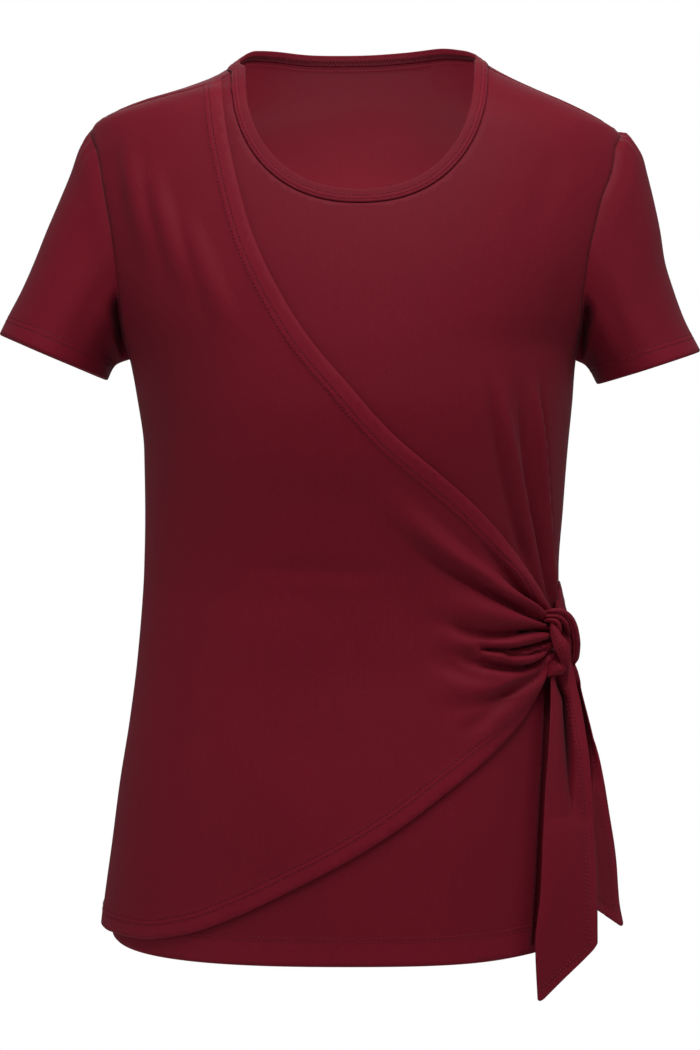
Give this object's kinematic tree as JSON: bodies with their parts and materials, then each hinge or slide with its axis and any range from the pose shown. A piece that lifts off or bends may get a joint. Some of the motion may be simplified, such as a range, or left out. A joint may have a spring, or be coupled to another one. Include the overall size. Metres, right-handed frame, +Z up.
{
  "type": "wrap top",
  "caption": "Short-sleeved jersey wrap top with a round neckband, a wrapped front gathered into a knot at the left waist, and hanging tie tails, in worn form.",
  "frame": {"origin": "on the garment's upright centre line, between the shoulders, at the height where they carry the cloth", "axes": "+Z up, front faces -Y, +X is the wearer's left"},
  "size_m": [0.4993, 0.2437, 0.6708],
  "materials": {
    "jersey": "matte"
  },
  "bodies": {
    "root": {"front": "jersey", "back": "jersey", "overlay": "jersey", "sleeve_right": "jersey", "sleeve_left": "jersey", "neckband": "jersey", "tie_side": "jersey", "knot": "jersey", "tail_front": "jersey", "tail_back": "jersey"}
  },
  "joints": []
}
